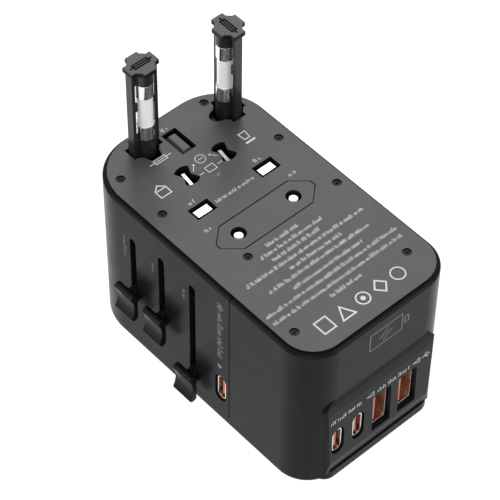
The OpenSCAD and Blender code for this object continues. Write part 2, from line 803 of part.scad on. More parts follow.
module uk_carriage() charcoal() {
    half = [3.3, 14.6];
    earth_x = [uk_earth_x - 1.6, uk_earth_x + 3.6];
    difference() {
        union() {
            box([uk_x - half[0], uk_x + half[0]], [-half[1], half[1]], uk_block_z);
            box([earth_x[0], uk_x - half[0]], link_y, link_z);
            box(earth_x, [-2, link_y[0]], link_z);
            slider_arm(uk_x, -half[1], [uk_block_z[0], uk_block_z[0] + 4], knob_z);
        }
        translate([uk_x, 0, 0]) cylinder(r = rod_r + running_gap, h = body_h);
    }
}

module uk_pin_at(y) {
    translate([uk_x, y, uk_block_z[1]])
        flat_pin(uk_pin, uk_tip_z - uk_block_z[1], [pin_chamfer, pin_chamfer]);
}

module uk_earth_pin() color([0.35, 0.35, 0.36]) {
    translate([uk_earth_x, 0, link_z[1]])
        flat_pin(uk_earth_pin_size, uk_tip_z + 0.3 - link_z[1], [0.95, 0.95]);
}

module eu_carriage() charcoal() {
    half = [3, 11.8];
    arm_x = 1;
    arm_end = -9.5;
    bar_z = [eu_knob_z - neck_h / 2, eu_knob_z + neck_h / 2];
    knob_back = -half_w - knob_out + knob_t;
    difference() {
        union() {
            box([eu_x - half[0], eu_x + half[0]], [-half[1], half[1]], eu_block_z);
            box([eu_x - arm_x, eu_x + arm_x], [-half[1], arm_end], [bar_z[0], eu_block_z[0]]);
            box([eu_x - arm_x, eu_x + arm_x], [-17.3, -half[1]], bar_z);
            box([eu_x - 2.2, eu_x + 2.2], [-21.7, -17.3], bar_z);
            box([eu_x - neck_w / 2, eu_x + neck_w / 2], [knob_back, -21.7], bar_z);
        }
        translate([eu_x, -19.5, 0]) cylinder(r = eu_rod_r + running_gap, h = body_h);
    }
}

// EU pin: a round tip on a thinner core that the insulating sleeve covers
module eu_pin_at(y) {
    r = eu_pin_d / 2;
    core_r = 1.5;
    tip_l = 9;
    dome = 1.2;
    l = eu_tip_z - eu_block_z[1];
    translate([eu_x, y, eu_block_z[1]]) {
        cylinder(r = core_r, h = l - tip_l);
        translate([0, 0, l - tip_l]) cylinder(r = r, h = tip_l - dome);
        translate([0, 0, l - dome]) rotate_extrude() {
            square([r - dome, dome]);
            translate([r - dome, 0]) intersection() {
                circle(dome);
                square(dome);
            }
        }
    }
}

module eu_sleeve_at(y) {
    tip_l = 9;
    l = eu_tip_z - eu_block_z[1] - tip_l;
    translate([eu_x, y, eu_block_z[1]]) tube(eu_pin_d / 2, 1.5, l);
}

// Pedestal that rises ahead of the EU pins, so that they reach into a recessed socket
module eu_pedestal() grey() {
    roof_t = 1.5;
    hole_r = eu_pin_d / 2 + 0.1;
    flange = [0.75, 9, 1.5];
    z0 = body_h - pedestal_h;
    difference() {
        union() {
            translate([eu_x, 0, z0]) linear_extrude(pedestal_h) pedestal_outline(pedestal_gap);
            for (s = [0, 1]) translate([eu_x, 0, 0]) mirror([s, 0, 0])
                box([pedestal_half[0] - pedestal_gap - 0.5, pedestal_half[0] - pedestal_gap + flange[0]],
                    [-flange[1], flange[1]], [z0, z0 + flange[2]]);
        }
        translate([eu_x, 0, z0 - 1]) linear_extrude(pedestal_h - roof_t + 1)
            pedestal_outline(pedestal_gap + pedestal_wall);
        for (s = [-1, 1]) translate([eu_x, s * eu_pin_y, 0]) cylinder(r = hole_r, h = body_h + 1);
    }
}

// ---- Socket side ----

module shutter() color([0.85, 0.85, 0.83]) {
    window_x0 = shutter_x[0] + 1.2;
    difference() {
        box(shutter_x, [-shutter_y, shutter_y], shutter_z);
        for (s = [0, 1]) mirror([0, s, 0]) box([window_x0, window_x0 + 7.6], [5, 14.8], [0, cover_h]);
    }
}

// Helical spring along X, as one closed tube
module shutter_spring() {
    wire_r = 0.2;
    coil_r = 1.1;
    turns = 9;
    steps = 12;
    sides = 6;
    x0 = shutter_x[1] + 0.05 + wire_r;
    span = spring_stop_x - shutter_x[1] - 0.1 - 2 * wire_r;
    rings = turns * steps;
    axis_z = 3.75;
    function ring(i) = let (a = 360 * i / steps) [
        for (k = [0 : sides - 1])
            let (b = 360 * k / sides, r = coil_r + wire_r * cos(b))
            [x0 + span * i / rings + wire_r * sin(b), r * cos(a), axis_z + r * sin(a)]
    ];
    points = [for (i = [0 : rings]) each ring(i)];
    sides_faces = [
        for (i = [0 : rings - 1], k = [0 : sides - 1])
            let (a = i * sides + k, b = i * sides + (k + 1) % sides)
            each [[a, b, b + sides], [a, b + sides, a + sides]]
    ];
    first_end = [for (k = [sides - 1 : -1 : 0]) k];
    last_end = [for (k = [0 : sides - 1]) rings * sides + k];
    nickel() polyhedron(points, concat(sides_faces, [first_end, last_end]));
}

// Sprung ring that grips a pin on both flats
module contact_ring(x, y) {
    grip = 2.3;
    grip_z = [contact_z0 + 1, contact_z1 - 1];
    difference() {
        box(x, y, [contact_z0, contact_z1]);
        box([x[0] + contact_leaf, x[1] - contact_leaf], [y[0] + contact_leaf, y[1] - contact_leaf],
            [contact_z0 - 1, contact_z1 + 1]);
    }
    mid = (x[0] + x[1]) / 2;
    for (s = [0, 1]) translate([mid, 0, 0]) mirror([s, 0, 0])
        box([grip, grip + contact_leaf], [y[0] + contact_leaf, y[1] - contact_leaf], grip_z);
}

module pole_contact() {
    x0 = rail_x[0] - contact_leaf;
    contact_ring([x0, 2 * socket_x - x0], [4.8, 14.8]);
}

module line_contact() brass() mirror([0, 1, 0]) pole_contact();
module neutral_contact() brass() pole_contact();

module earth_contact() brass() {
    size = [9.8, 5.5];
    height = contact_z1 - contact_z0;
    translate([socket_earth_x, 0, contact_z0]) linear_extrude(height) difference() {
        square(size, center = true);
        square([size[0] - 2 * contact_leaf, size[1] - 2 * contact_leaf], center = true);
    }
}

module rail() box(rail_x, rail_y, [contact_z0 + 0.5, rail_top_z]);
module line_rail() brass() mirror([0, 1, 0]) rail();
module neutral_rail() brass() rail();

// ---- Charger ----

module power_board() green() box(power_board_x, [-20.5, 20.5], [14, 50]);

module transformer_core() color([0.2, 0.2, 0.2]) {
    difference() {
        box([power_board_x[1], 33], [-9, 9], [28, 46]);
        box([power_board_x[1] + 3, 30], [-10, 10], [31, 43]);
    }
}

module transformer_winding() color([0.85, 0.7, 0.2]) {
    box([power_board_x[1] + 3.1, 29.9], [-8.5, 8.5], [31.1, 42.9]);
}

module capacitors() color([0.12, 0.2, 0.3]) {
    for (y = [-15, 15]) translate([power_board_x[1], y, 38]) rotate([0, 90, 0]) cylinder(r = 4, h = 13);
}

module choke() color([0.55, 0.35, 0.2]) {
    ring_r = 3.6;
    wound_r = 2.5;
    translate([power_board_x[1] + wound_r + 0.1, 0, 21.4]) rotate([0, 90, 0])
        rotate_extrude() translate([ring_r, 0]) circle(wound_r);
}

module heat_spreader() color([0.7, 0.7, 0.72]) {
    box([power_board_x[1], 32], [19, 20.4], [16, 33]);
    box([power_board_x[1], 32], [15, 19], [16, 17.4]);
}

module port_board() green() box(port_board_x, [-18.6, 14.4], [6, 27]);
module side_board() green() {
    y1 = side_port_y + side_port_l;
    box([10.4, 13.9], [y1, y1 + 1.2], [6.5, 21.5]);
}

module rounded_shell(size, r, l) {
    along_x(l) difference() {
        rounded(size, r);
        rounded([size[0] - 2 * port_skin, size[1] - 2 * port_skin], r - port_skin / 2);
    }
}

module usb_c_shell(l) {
    along_x(l) difference() {
        stadium(usb_c_size[0], usb_c_size[1]);
        stadium(usb_c_size[0] - 2 * port_skin, usb_c_size[1] - 2 * port_skin);
    }
}

module usb_c_tongue(l) {
    tongue = [0.7, 6.6];
    base = 1.2;
    translate([0, -tongue[0] / 2, -tongue[1] / 2]) cube([l - 0.8, tongue[0], tongue[1]]);
    along_x(base) stadium(usb_c_size[0] - 2 * port_skin - 0.04, usb_c_size[1] - 2 * port_skin - 0.04);
}

module usb_a_shells() nickel() {
    for (y = usb_a_y) translate([port_board_x[1], y, port_z]) rounded_shell(usb_a_size, 0.5, usb_a_depth);
}

module usb_a_tongues() copper() {
    inner = [usb_a_size[0] - 2 * port_skin, usb_a_size[1] - 2 * port_skin];
    tongue_t = 1.7;
    base = 1.2;
    gap = 0.04;
    for (y = usb_a_y) translate([port_board_x[1], y + gap - inner[0] / 2, port_z + 0.5 - inner[1] / 2]) {
        cube([usb_a_depth - 0.4, tongue_t, inner[1] - 1]);
        cube([base, inner[0] - 2 * gap, inner[1] - 1]);
    }
}

module usb_c_shells() nickel() {
    for (y = usb_c_y) translate([port_board_x[1], y, port_z]) usb_c_shell(usb_c_depth);
}

module usb_c_tongues() copper() {
    for (y = usb_c_y) translate([port_board_x[1], y, port_z]) usb_c_tongue(usb_c_depth);
}

module at_side_port() {
    translate([side_port_x, side_port_y + side_port_l, side_port_z]) rotate(-90) children();
}

module side_port_shell() nickel() at_side_port() usb_c_shell(side_port_l);
module side_port_tongue() copper() at_side_port() usb_c_tongue(side_port_l);

face_plate();
adapter_shell();
charger_shell();
socket_cover();
socket_insert();
inner_frame();
partition();
face_screws();
cover_screws();
guide_rods();
main_fuse_well();
spare_fuse_well();
main_fuse_contacts();
main_fuse_cap();
main_fuse_frame();
main_fuse_tube();
main_fuse_ends();
spare_fuse_cap();
spare_fuse_frame();
spare_fuse_tube();
spare_fuse_ends();
us_carriage();
slate() knob(us_x, knob_z);  // us_knob
nickel() us_blade(-1);  // us_blade_near
nickel() us_blade(1);  // us_blade_far
uk_carriage();
slate() knob(uk_x, knob_z);  // uk_knob
nickel() uk_pin_at(-uk_pin_y);  // uk_pin_near
nickel() uk_pin_at(uk_pin_y);  // uk_pin_far
uk_earth_pin();
eu_carriage();
slate() knob(eu_x, eu_knob_z);  // eu_knob
nickel() eu_pin_at(-eu_pin_y);  // eu_pin_near
nickel() eu_pin_at(eu_pin_y);  // eu_pin_far
black() eu_sleeve_at(-eu_pin_y);  // eu_sleeve_near
black() eu_sleeve_at(eu_pin_y);  // eu_sleeve_far
eu_pedestal();
shutter();
shutter_spring();
line_contact();
neutral_contact();
earth_contact();
line_rail();
neutral_rail();
power_board();
transformer_core();
transformer_winding();
capacitors();
choke();
heat_spreader();
port_board();
side_board();
usb_a_shells();
usb_a_tongues();
usb_c_shells();
usb_c_tongues();
side_port_shell();
side_port_tongue();
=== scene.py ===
"""Universal travel adapter: finishes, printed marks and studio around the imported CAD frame."""

import json
import math
import random

import bmesh
import bpy
from mathutils import Matrix, Vector


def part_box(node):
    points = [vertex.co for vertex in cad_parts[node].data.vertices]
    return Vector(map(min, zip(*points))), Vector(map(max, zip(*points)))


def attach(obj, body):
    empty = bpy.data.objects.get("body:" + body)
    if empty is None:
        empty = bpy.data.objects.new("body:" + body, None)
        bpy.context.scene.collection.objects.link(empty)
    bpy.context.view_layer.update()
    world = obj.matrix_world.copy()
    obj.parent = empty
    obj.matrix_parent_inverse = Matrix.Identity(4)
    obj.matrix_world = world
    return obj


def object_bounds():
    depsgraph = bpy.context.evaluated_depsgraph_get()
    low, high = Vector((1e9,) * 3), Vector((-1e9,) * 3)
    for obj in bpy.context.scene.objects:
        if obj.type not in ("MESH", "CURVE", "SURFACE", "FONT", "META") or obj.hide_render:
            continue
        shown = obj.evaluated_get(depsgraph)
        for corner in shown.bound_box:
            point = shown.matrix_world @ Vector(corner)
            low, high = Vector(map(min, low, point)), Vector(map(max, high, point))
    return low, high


MM = 0.001

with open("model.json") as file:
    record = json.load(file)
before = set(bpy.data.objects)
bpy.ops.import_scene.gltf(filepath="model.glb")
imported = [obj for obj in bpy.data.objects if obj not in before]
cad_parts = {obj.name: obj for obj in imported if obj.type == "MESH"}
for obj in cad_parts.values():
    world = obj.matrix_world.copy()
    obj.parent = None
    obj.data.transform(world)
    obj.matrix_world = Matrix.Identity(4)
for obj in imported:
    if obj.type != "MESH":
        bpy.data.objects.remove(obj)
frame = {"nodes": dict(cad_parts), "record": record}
NODES = frame["nodes"]
cad_low, cad_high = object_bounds()

# ---- Places taken from the frame ----

PLATE_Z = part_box("face_plate")[1].z
SIDE_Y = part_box("adapter_shell")[0].y
# The end walls are as far out on both sides; the port panel hides this one from its node's box
USB_WALL_X = -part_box("socket_cover")[0].x
UK_X = sum(c.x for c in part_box("uk_pin_far")) / 2
EU_X = sum(c.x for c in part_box("eu_pin_far")) / 2
US_X = sum(c.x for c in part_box("us_blade_far")) / 2


# ---- Node materials ----

def new_material(name, color, roughness, metallic=0.0):
    mat = bpy.data.materials.new(name)
    mat.use_nodes = True
    tree = mat.node_tree
    shader = tree.nodes["Principled BSDF"]
    shader.inputs["Roughness"].default_value = roughness
    shader.inputs["Metallic"].default_value = metallic
    shader.inputs["Base Color"].default_value = (*color, 1)
    return mat, tree, shader


def add_noise(tree, scale, detail=4.0, stretch=(1, 1, 1)):
    coords = tree.nodes.new("ShaderNodeTexCoord")
    mapping = tree.nodes.new("ShaderNodeMapping")
    mapping.inputs["Scale"].default_value = stretch
    noise = tree.nodes.new("ShaderNodeTexNoise")
    noise.inputs["Scale"].default_value = scale
    noise.inputs["Detail"].default_value = detail
    tree.links.new(coords.outputs["Object"], mapping.inputs["Vector"])
    tree.links.new(mapping.outputs["Vector"], noise.inputs["Vector"])
    return noise.outputs["Fac"]


def add_ramp(tree, source, low, high, start=0.35, end=0.65):
    """Maps a grey value to between two colours."""
    ramp = tree.nodes.new("ShaderNodeValToRGB")
    ramp.color_ramp.elements[0].position = start
    ramp.color_ramp.elements[1].position = end
    ramp.color_ramp.elements[0].color = (*low, 1)
    ramp.color_ramp.elements[1].color = (*high, 1)
    tree.links.new(source, ramp.inputs["Fac"])
    return ramp.outputs["Color"]


def add_bump(tree, shader, source, strength, distance):
    bump = tree.nodes.new("ShaderNodeBump")
    bump.inputs["Strength"].default_value = strength
    bump.inputs["Distance"].default_value = distance
    tree.links.new(source, bump.inputs["Height"])
    tree.links.new(bump.outputs["Normal"], shader.inputs["Normal"])


def shades(color, spread):
    return tuple(c * (1 - spread) for c in color), tuple(min(1, c * (1 + spread)) for c in color)


def plastic(name, color, roughness, grain=0.25, grain_scale=2600, spread=0.06, specular=0.5):
    """Moulded plastic: a fine spark-eroded grain, slow drifts of shade and patches of different sheen."""
    mat, tree, shader = new_material(name, color, roughness)
    low, high = shades(color, spread)
    tree.links.new(add_ramp(tree, add_noise(tree, 55, 3), low, high), shader.inputs["Base Color"])
    rough = add_ramp(tree, add_noise(tree, 190, 5), (roughness - 0.03,) * 3, (roughness + 0.03,) * 3)
    tree.links.new(rough, shader.inputs["Roughness"])
    add_bump(tree, shader, add_noise(tree, grain_scale, 2), grain, 0.00004)
    shader.inputs["Specular IOR Level"].default_value = specular
    return mat


def coat_with_painted_edge_shade(name, top_color, side_color, level, roughness):
    """Grey face at height level, in metres, over black plastic; below that level, on the edges and in the holes, the
    black and the weaker sheen are painted shade.
    """
    mat = plastic(name, side_color, roughness, grain=0.3)
    tree = mat.node_tree
    shader = tree.nodes["Principled BSDF"]
    dark = shader.inputs["Base Color"].links[0].from_socket
    low, high = shades(top_color, 0.04)
    grey = add_ramp(tree, add_noise(tree, 70, 3), low, high)
    coords = tree.nodes.new("ShaderNodeTexCoord")
    split = tree.nodes.new("ShaderNodeSeparateXYZ")
    tree.links.new(coords.outputs["Object"], split.inputs["Vector"])

    def step(low_value, high_value):
        node = tree.nodes.new("ShaderNodeMapRange")
        node.inputs["From Min"].default_value = level - 0.09 * MM
        node.inputs["From Max"].default_value = level - 0.05 * MM
        node.inputs["To Min"].default_value = low_value
        node.inputs["To Max"].default_value = high_value
        tree.links.new(split.outputs["Z"], node.inputs["Value"])
        return node.outputs["Result"]

    # Painted shade: under the top face the colour turns black and the sheen drops, so the edges and holes look as dark
    # as the shaded gaps between parts
    tree.links.new(step(0.08, 0.5), shader.inputs["Specular IOR Level"])
    mix = tree.nodes.new("ShaderNodeMixRGB")
    tree.links.new(step(0, 1), mix.inputs["Fac"])
    tree.links.new(dark, mix.inputs["Color1"])
    tree.links.new(grey, mix.inputs["Color2"])
    tree.links.new(mix.outputs["Color"], shader.inputs["Base Color"])
    return mat


def metal(name, color, roughness, brush=(1, 1, 1), scale=900, strength=0.15, spread=0.05):
    """Plated or brushed metal: fine lines along one direction and a cloudy sheen."""
    mat, tree, shader = new_material(name, color, roughness, metallic=1.0)
    low, high = shades(color, spread)
    tree.links.new(add_ramp(tree, add_noise(tree, 240, 4), low, high), shader.inputs["Base Color"])
    rough = add_ramp(tree, add_noise(tree, scale, 3, brush), (roughness - 0.06,) * 3, (roughness + 0.08,) * 3)
    tree.links.new(rough, shader.inputs["Roughness"])
    add_bump(tree, shader, add_noise(tree, scale, 3, brush), strength, 0.00002)
    return mat


def ceramic(name, color):
    """Glazed fuse tube with faint specks."""
    mat, tree, shader = new_material(name, color, 0.22)
    low, high = shades(color, 0.03)
    tree.links.new(add_ramp(tree, add_noise(tree, 1500, 2), low, high, 0.3, 0.4), shader.inputs["Base Color"])
    add_bump(tree, shader, add_noise(tree, 300, 3), 0.1, 0.00003)
    shader.inputs["Coat Weight"].default_value = 0.6
    shader.inputs["Coat Roughness"].default_value = 0.08
    return mat


def board(name, color):
    """Solder mask over faint copper tracks."""
    mat, tree, shader = new_material(name, color, 0.35)
    brick = tree.nodes.new("ShaderNodeTexBrick")
    brick.inputs["Scale"].default_value = 260
    brick.inputs["Mortar Size"].default_value = 0.08
    low, high = shades(color, 0.25)
    brick.inputs["Color1"].default_value = (*low, 1)
    brick.inputs["Color2"].default_value = (*color, 1)
    brick.inputs["Mortar"].default_value = (*high, 1)
    coords = tree.nodes.new("ShaderNodeTexCoord")
    tree.links.new(coords.outputs["Object"], brick.inputs["Vector"])
    tree.links.new(brick.outputs["Color"], shader.inputs["Base Color"])
    add_bump(tree, shader, brick.outputs["Fac"], 0.3, 0.00003)
    return mat


def winding(name, color, step):
    """Wound tape or wire: close parallel turns."""
    mat, tree, shader = new_material(name, color, 0.3)
    coords = tree.nodes.new("ShaderNodeTexCoord")
    wave = tree.nodes.new("ShaderNodeTexWave")
    wave.inputs["Scale"].default_value = 1 / step / 6.28
    wave.bands_direction = "Z"
    tree.links.new(coords.outputs["Object"], wave.inputs["Vector"])
    low, high = shades(color, 0.35)
    tree.links.new(add_ramp(tree, wave.outputs["Fac"], low, high, 0.1, 0.7), shader.inputs["Base Color"])
    add_bump(tree, shader, wave.outputs["Fac"], 0.6, 0.0001)
    return mat


FINISH = {
    "shell_plastic": plastic("shell_plastic", (0.007, 0.008, 0.009), 0.3, grain=0.15, specular=0.07),
    "plate_plastic": plastic("plate_plastic", (0.074, 0.071, 0.075), 0.43, grain=0.35),
    "black_plastic": plastic("black_plastic", (0.01, 0.01, 0.011), 0.35, specular=0.35),
    "earth_plastic": plastic("earth_plastic", (0.1, 0.1, 0.105), 0.45),
    "shutter_plastic": plastic("shutter_plastic", (0.6, 0.6, 0.57), 0.5),
    "pin_metal": metal("pin_metal", (0.83, 0.82, 0.8), 0.14, brush=(1, 1, 0.15), strength=0.05),
    "contact_brass": metal("contact_brass", (0.75, 0.56, 0.28), 0.3),
    "screw_steel": metal("screw_steel", (0.04, 0.04, 0.042), 0.42, scale=2200, strength=0.2),
    "rod_steel": metal("rod_steel", (0.6, 0.6, 0.6), 0.25, brush=(1, 1, 0.1)),
    "fuse_tube_ceramic": ceramic("fuse_tube_ceramic", (0.93, 0.93, 0.92)),
    "board_green": board("board_green", (0.02, 0.12, 0.05)),
    "core_ferrite": plastic("core_ferrite", (0.03, 0.03, 0.032), 0.7, grain=0.8, grain_scale=1400),
    "winding_tape": winding("winding_tape", (0.7, 0.45, 0.06), 0.0006),
    "cap_sleeve": plastic("cap_sleeve", (0.02, 0.05, 0.1), 0.25),
    "choke_wire": winding("choke_wire", (0.6, 0.25, 0.08), 0.0004),
    "heat_aluminium": metal("heat_aluminium", (0.75, 0.75, 0.77), 0.35, brush=(1, 0.1, 1)),
    "port_metal": metal("port_metal", (0.75, 0.73, 0.7), 0.17, strength=0.04),
    "tongue_orange": plastic("tongue_orange", (0.62, 0.2, 0.11), 0.45, grain=0.1),
}
PLATE_GREY = (0.062, 0.058, 0.06)
PAINTED_SHADE_BLACK = (0.008, 0.008, 0.009)
# The grey faces are the parts' own coat; the black on their edges and in their holes is painted shade of the gaps
for coated in ("face_plate", "eu_pedestal", "main_fuse_cap", "spare_fuse_cap"):
    FINISH[coated] = coat_with_painted_edge_shade(coated + "_coat_painted_shade", PLATE_GREY, PAINTED_SHADE_BLACK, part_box(coated)[1].z, 0.32)
PRINT = plastic("print_grey", (0.64, 0.64, 0.65), 0.55, grain=0.15, spread=0.1)
DARK_PRINT = plastic("print_dim", (0.2, 0.2, 0.205), 0.5, grain=0.15, spread=0.1)


# ---- CAD nodes: finish and softened edges ----

# Width of the softened edges, in millimetres
SOFT_EDGE = {
    "face_plate": 0.16, "adapter_shell": 0.14, "charger_shell": 0.14, "socket_cover": 0.14,
    "main_fuse_cap": 0.16, "spare_fuse_cap": 0.16, "main_fuse_frame": 0.12, "spare_fuse_frame": 0.12,
    "us_knob": 0.3, "uk_knob": 0.3, "eu_knob": 0.3, "eu_pedestal": 0.16,
    "uk_pin_near": 0.12, "uk_pin_far": 0.12, "uk_earth_pin": 0.14,
    "us_blade_near": 0.06, "us_blade_far": 0.06, "face_screws": 0.08, "cover_screws": 0.1,
    "usb_a_shells": 0.06, "usb_c_shells": 0.06, "side_port_shell": 0.06,
    "usb_a_tongues": 0.1, "usb_c_tongues": 0.08, "side_port_tongue": 0.08,
    "main_fuse_ends": 0.12, "spare_fuse_ends": 0.12,
}


def soften(obj, width):
    """Rounds sharp edges by width, in metres, without touching the mesh itself."""
    weld = obj.modifiers.new("weld", "WELD")
    weld.merge_threshold = 0.000002
    flatten = obj.modifiers.new("flatten", "DECIMATE")
    flatten.decimate_type = "DISSOLVE"
    flatten.angle_limit = math.radians(0.3)
    bevel = obj.modifiers.new("bevel", "BEVEL")
    bevel.width = width
    bevel.segments = 2
    bevel.limit_method = "ANGLE"
    bevel.angle_limit = math.radians(32)
    bevel.miter_outer = "MITER_ARC"
    bevel.use_clamp_overlap = True
    normals = obj.modifiers.new("normals", "WEIGHTED_NORMAL")
    normals.keep_sharp = True
    normals.weight = 80


slot_of = {s["node"]: s["material_slot"] for s in frame["record"]["subparts"]}
for node_name, node_object in NODES.items():
    node_object.data.materials.clear()
    node_object.data.materials.append(FINISH.get(node_name) or FINISH[slot_of[node_name]])
    if node_name in SOFT_EDGE:
        soften(node_object, SOFT_EDGE[node_name] * MM)


# ---- Printed marks ----

class Marks:
    """Collects thin printed shapes on a flat face; u and v are millimetres across and along the face."""

    def __init__(self, origin, u_axis, v_axis, thick=0.03):
        self.origin = Vector(origin)
        self.u = Vector(u_axis)
        self.v = Vector(v_axis)
        self.n = self.u.cross(self.v).normalized()
        self.thick = thick
        self.mesh = bmesh.new()

    def point(self, u, v, h):
        return self.origin + (self.u * u + self.v * v + self.n * h) * MM

    def patch(self, outline):
        """A filled convex outline, as a thin raised film."""
        top = [self.mesh.verts.new(self.point(u, v, self.thick)) for u, v in outline]
        low = [self.mesh.verts.new(self.point(u, v, -0.02)) for u, v in outline]
        area = sum(a[0] * b[1] - b[0] * a[1] for a, b in zip(outline, outline[1:] + outline[:1]))
        if area < 0:
            top.reverse()
            low.reverse()
        self.mesh.faces.new(top)
        self.mesh.faces.new(low[::-1])
        for i in range(len(top)):
            j = (i + 1) % len(top)
            self.mesh.faces.new((top[j], top[i], low[i], low[j]))

    def bar(self, a, b, width):
        a, b = Vector(a), Vector(b)
        along = (b - a).normalized() * width / 2
        side = Vector((-along.y, along.x))
        self.patch([tuple(p) for p in (a - along - side, b + along - side, b + along + side, a - along + side)])

    def line(self, points, width, closed=False):
        """A stroke through the points, mitred at the corners so that its pieces meet without overlapping."""
        points = [Vector(p) for p in points]
        last = len(points) - 1
        edges = []
        for i, point in enumerate(points):
            ways = []
            if closed or i > 0:
                ways.append((point - points[i - 1]).normalized())
            if closed or i < last:
                ways.append((points[(i + 1) % (last + 1)] - point).normalized())
            way = sum(ways, Vector((0, 0))).normalized()
            if len(ways) == 1:
                point = point + way * (width / 2 if i else -width / 2)
            side = Vector((-way.y, way.x))
            side = side * (width / 2 / max(0.4, way.dot(ways[0])))
            edges.append((point - side, point + side))
        for a, b in zip(edges, edges[1:] + edges[:1] if closed else edges[1:]):
            self.patch([tuple(p) for p in (a[0], b[0], b[1], a[1])])

    def ring(self, u, v, radius, width, steps=20, start=0.0, turn=360.0):
        angles = [math.radians(start + turn * i / steps) for i in range(steps + 1)]
        inner, outer = radius - width / 2, radius + width / 2
        for a, b in zip(angles, angles[1:]):
            self.patch([
                (u + inner * math.cos(a), v + inner * math.sin(a)), (u + outer * math.cos(a), v + outer * math.sin(a)),
                (u + outer * math.cos(b), v + outer * math.sin(b)), (u + inner * math.cos(b), v + inner * math.sin(b)),
            ])

    def disc(self, u, v, radius, steps=18):
        self.patch([(u + radius * math.cos(2 * math.pi * i / steps), v + radius * math.sin(2 * math.pi * i / steps))
                    for i in range(steps)])

    def greek(self, start, end, height, rng, words=(2, 6)):
        """Stands for a line of print: groups of short strokes that spell nothing. Runs from start to end."""
        start, end = Vector(start), Vector(end)
        way = (end - start).normalized()
        side = Vector((-way.y, way.x))
        length = (end - start).length
        step = height * 0.42
        place = 0.0
        while place < length - step:
            for _ in range(rng.randint(*words)):
                if place > length - step:
                    break
                tall = height * rng.choice((0.62, 0.62, 0.8, 1.0))
                foot = start + way * place - side * height / 2
                self.bar(tuple(foot + side * height * 0.08), tuple(foot + side * (tall - height * 0.08)), height * 0.15)
                if rng.random() < 0.6:
                    level = rng.choice((0.1, 0.5, 0.9)) * tall
                    across = foot + side * level
                    self.bar(tuple(across), tuple(across + way * step * 0.6), height * 0.13)
                place += step
            place += step * 0.8

    def arrow(self, tip, way, size):
        tip, way = Vector(tip), Vector(way).normalized()
        side = Vector((-way.y, way.x))
        self.patch([tuple(tip), tuple(tip - way * size + side * size * 0.6), tuple(tip - way * size - side * size * 0.6)])

    def finish(self, name, material, body="housing"):
        mesh = bpy.data.meshes.new(name)
        self.mesh.to_mesh(mesh)
        self.mesh.free()
        obj = bpy.data.objects.new(name, mesh)
        bpy.context.scene.collection.objects.link(obj)
        obj.data.materials.append(material)
        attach(obj, body)
        return obj


rng = random.Random(11)

# Plug face: u runs along +X from the UK pins' axis, v along +Y
face = Marks((UK_X, 0, PLATE_Z), (1, 0, 0), (0, 1, 0))
# Place along u, start and end along v of each line of the printed block
TEXT_LINES = [
    (20.0, -7.0, 4.5), (22.3, -11.0, 10.8), (24.6, -9.0, 7.5), (27.0, -20.0, 21.0), (29.5, -7.5, 10.5),
    (31.9, -16.8, 17.5), (34.8, -11.3, 13.0), (37.4, -22.8, 23.0), (40.1, -22.8, 21.5), (42.8, -6.0, 5.2),
]
for u, v0, v1 in TEXT_LINES:
    face.greek((u, v0), (u, v1), 1.25, rng)
face.greek((0.4, -6.7), (0.4, 6.7), 1.15, rng)
for u, v0, v1 in [(6.0, 13.5, 16.3), (6.0, -15.5, -13.0), (-3.7, 10.0, 12.6), (-3.7, -12.6, -10.0), (-28.0, -1.2, 1.2)]:
    face.greek((u, v0), (u, v1), 1.3, rng, (2, 2))


def fuse_sign(marks, u, v, length):
    """A box on a wire that runs along v."""
    half, box_end = length / 2, length * 0.28
    corners = [(-0.7, -box_end), (0.7, -box_end), (0.7, box_end), (-0.7, box_end)]
    marks.line([(u + a, v + b) for a, b in corners], 0.22, closed=True)
    marks.line([(u, v - half), (u, v + half)], 0.22)


fuse_sign(face, -20.3, -8.0, 7.0)

# Five plain shapes in a row
face.line([(46.6, -15.4), (50.8, -15.4), (50.8, -11.6), (46.6, -11.6)], 0.45, closed=True)
face.line([(50.8, -9.1), (46.8, -7.0), (50.8, -4.9)], 0.45, closed=True)
face.ring(48.7, -0.5, 1.9, 0.4)
face.disc(48.7, -0.5, 0.7)
face.line([(46.5, 5.5), (48.7, 7.5), (50.9, 5.5), (48.7, 3.5)], 0.45, closed=True)
face.ring(48.7, 11.6, 2.0, 0.4)

# House, box over a bar, and the signs between the blades
face.line([(-9.8, -16.5), (-9.8, -13.1), (-12.2, -13.1), (-12.2, -16.5)], 0.32, closed=True)
face.line([(-12.3, -16.6), (-13.9, -14.8), (-12.3, -13.0)], 0.32)
face.line([(-13.4, 13.1), (-13.4, 15.4), (-11.0, 15.1), (-11.0, 13.4)], 0.28, closed=True)
face.bar((-9.7, 13.0), (-9.7, 15.6), 0.6)
face.ring(-13.6, 0, 1.45, 0.2)
face.bar((-13.6, -0.7), (-13.6, 0.7), 0.2)
face.line([(-10.4, -1.35), (-8.4, -1.35), (-8.4, 1.35), (-10.4, 1.35)], 0.2, closed=True)
for s in (-1, 1):
    face.line([(-11.5, 4.2 * s), (-12.6, 3.2 * s)], 0.2)
    face.arrow((-13.4, 2.5 * s), (-1, -s), 0.7)
    face.line([(-9.3, 2.4 * s), (-9.3, 3.8 * s)], 0.2)
    face.greek((-6.4, -1.2), (-6.4, 1.2), 0.8, rng, (2, 3))
face.finish("face_print", PRINT)

# Slider side: u runs along +X, v up the wall; a label stands left of each slider
side = Marks((0, SIDE_Y, 0), (1, 0, 0), (0, 0, 1))
for x, label_low, label_high in zip((US_X, UK_X, EU_X), (33.5, 37.5, 38.0), (42.5, 41.5, 42.0)):
    u = x / MM - 3.2
    side.greek((u, label_high), (u, label_low), 1.2, rng, (2, 4))
PORT_U = sum(c.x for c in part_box("side_port_shell")) / 2 / MM
side.greek((PORT_U, 49.0), (PORT_U, 25.5), 2.3, rng, (3, 5))
side.arrow((PORT_U - 0.3, 22.3), (0, -1), 1.7)
side.finish("side_print", DARK_PRINT)

